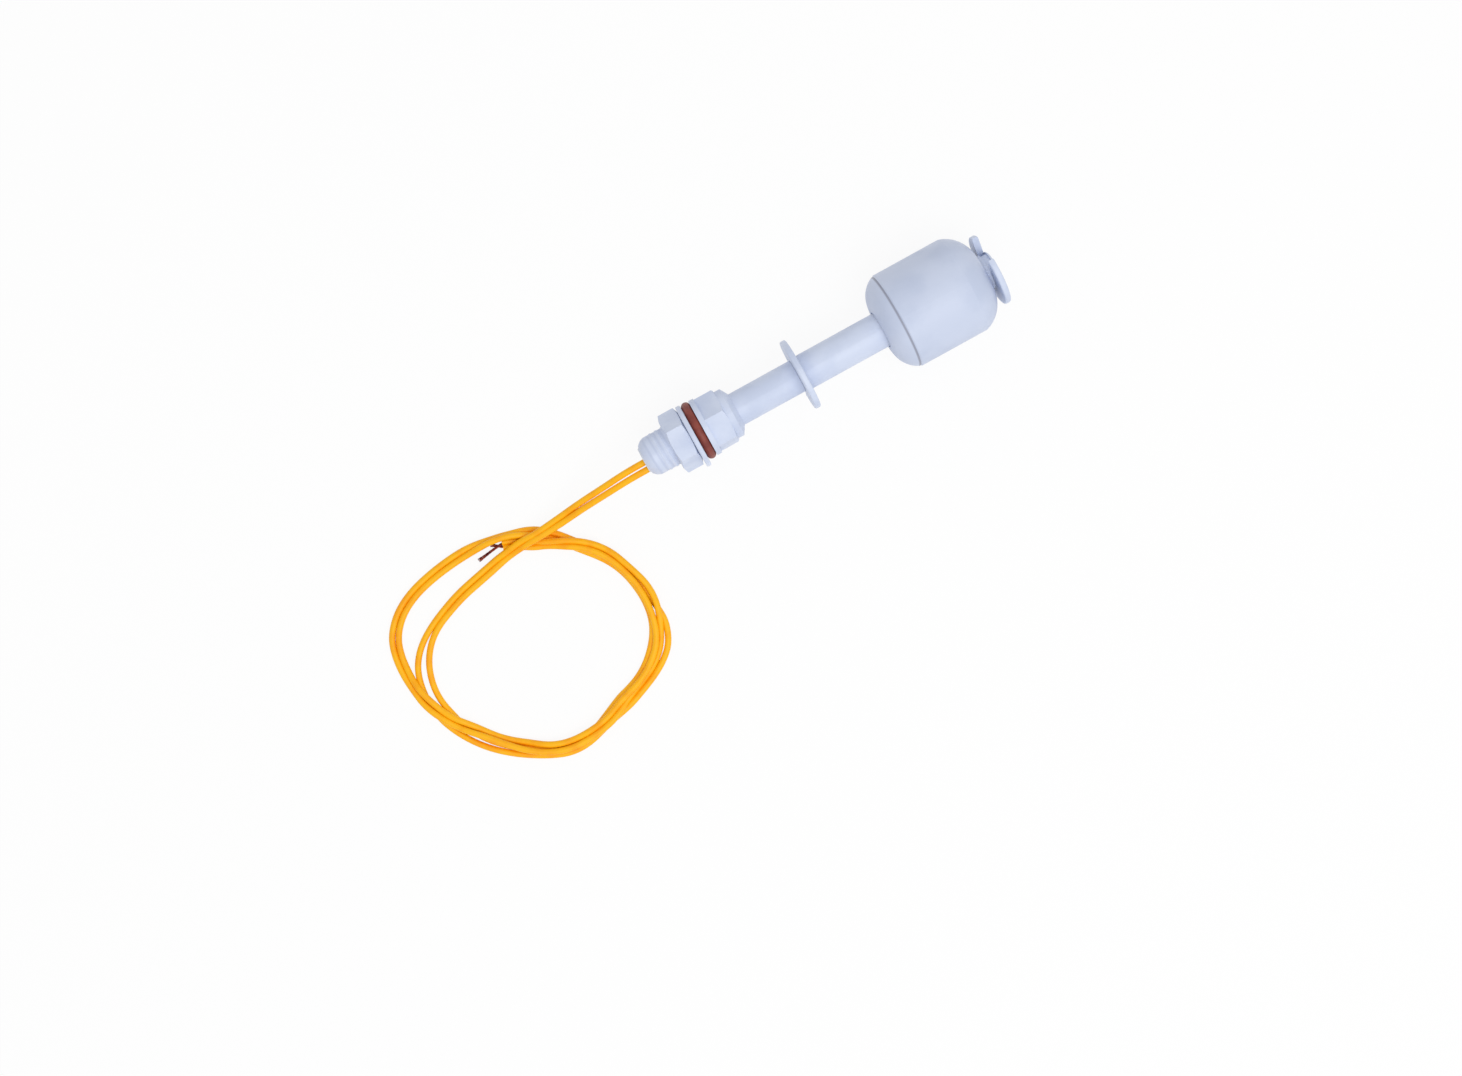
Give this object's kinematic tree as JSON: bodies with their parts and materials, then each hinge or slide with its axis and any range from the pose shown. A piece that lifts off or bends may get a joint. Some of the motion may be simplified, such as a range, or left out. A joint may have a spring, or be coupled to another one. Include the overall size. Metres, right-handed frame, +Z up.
{
  "type": "float level switch",
  "caption": "Small float level switch: a reed switch in a threaded plastic stem, and a float with a ring magnet that slides between clips, with nut, washer, seal ring and wire leads.",
  "frame": {"origin": "on the stem's axis, in the face of the collar that the seal ring presses on", "axes": "+X along the stem towards the float, +Z up, with the stem lying level on its float"},
  "size_m": [0.1345, 0.0515, 0.0192],
  "materials": {
    "stem_plastic": "white polypropylene, satin, slightly blue",
    "nut_plastic": "white polypropylene, satin",
    "washer_plastic": "white polypropylene, satin",
    "clip_plastic": "white polypropylene, satin",
    "float_plastic": "white polypropylene, satin",
    "seal_rubber": "red-brown silicone rubber, smooth",
    "ferrite": "dark grey sintered ferrite",
    "glass": "clear green-tinted glass",
    "blade_metal": "plated nickel-iron",
    "wire_insulation": "yellow-orange soft PVC",
    "solder": "bright tin solder",
    "sleeve_plastic": "black heat-shrink tubing",
    "potting_resin": "milky epoxy resin",
    "copper": "oxidised copper strands"
  },
  "bodies": {
    "stem": {"stem_housing": "stem_plastic", "seal_ring": "seal_rubber", "stop_clip": "clip_plastic", "end_clip": "clip_plastic", "potting_plug": "potting_resin", "reed_glass": "glass", "reed_blade_near": "blade_metal", "reed_blade_far": "blade_metal", "wire_a_inner": "wire_insulation", "wire_b_inner": "wire_insulation", "solder_near": "solder", "solder_far": "solder", "insulating_sleeve": "sleeve_plastic", "wire_a_run": "wire_insulation", "wire_b_run": "wire_insulation", "wire_coil": "wire_insulation", "wire_a_core": "copper", "wire_b_core": "copper"},
    "washer": {"flat_washer": "washer_plastic"},
    "nut": {"hex_nut": "nut_plastic"},
    "magnet": {"float_magnet": "ferrite"},
    "float": {"float_cup": "float_plastic", "float_lid": "float_plastic"}
  },
  "joints": [
    {"name": "washer_slide", "type": "slide", "parent": "stem", "child": "washer", "axis": [-1, 0, 0], "range_m": [0, 0.01]},
    {"name": "nut_turn", "type": "hinge", "parent": "washer", "child": "nut", "pos_m": [-0.00475, 0, 0], "axis": [-1, 0, 0], "range_deg": [0, 2881]},
    {"name": "float_slide", "type": "slide", "parent": "stem", "child": "magnet", "axis": [1, 0, 0], "range_m": [-0.01655, 0.00075]},
    {"name": "float_turn", "type": "hinge", "parent": "magnet", "child": "float", "pos_m": [0.049, 0, 0], "axis": [1, 0, 0], "continuous": true}
  ],
  "couplings": [
    {"joint": "nut_turn", "follows": "washer_slide", "rad_per_m": 5026.5}
  ]
}
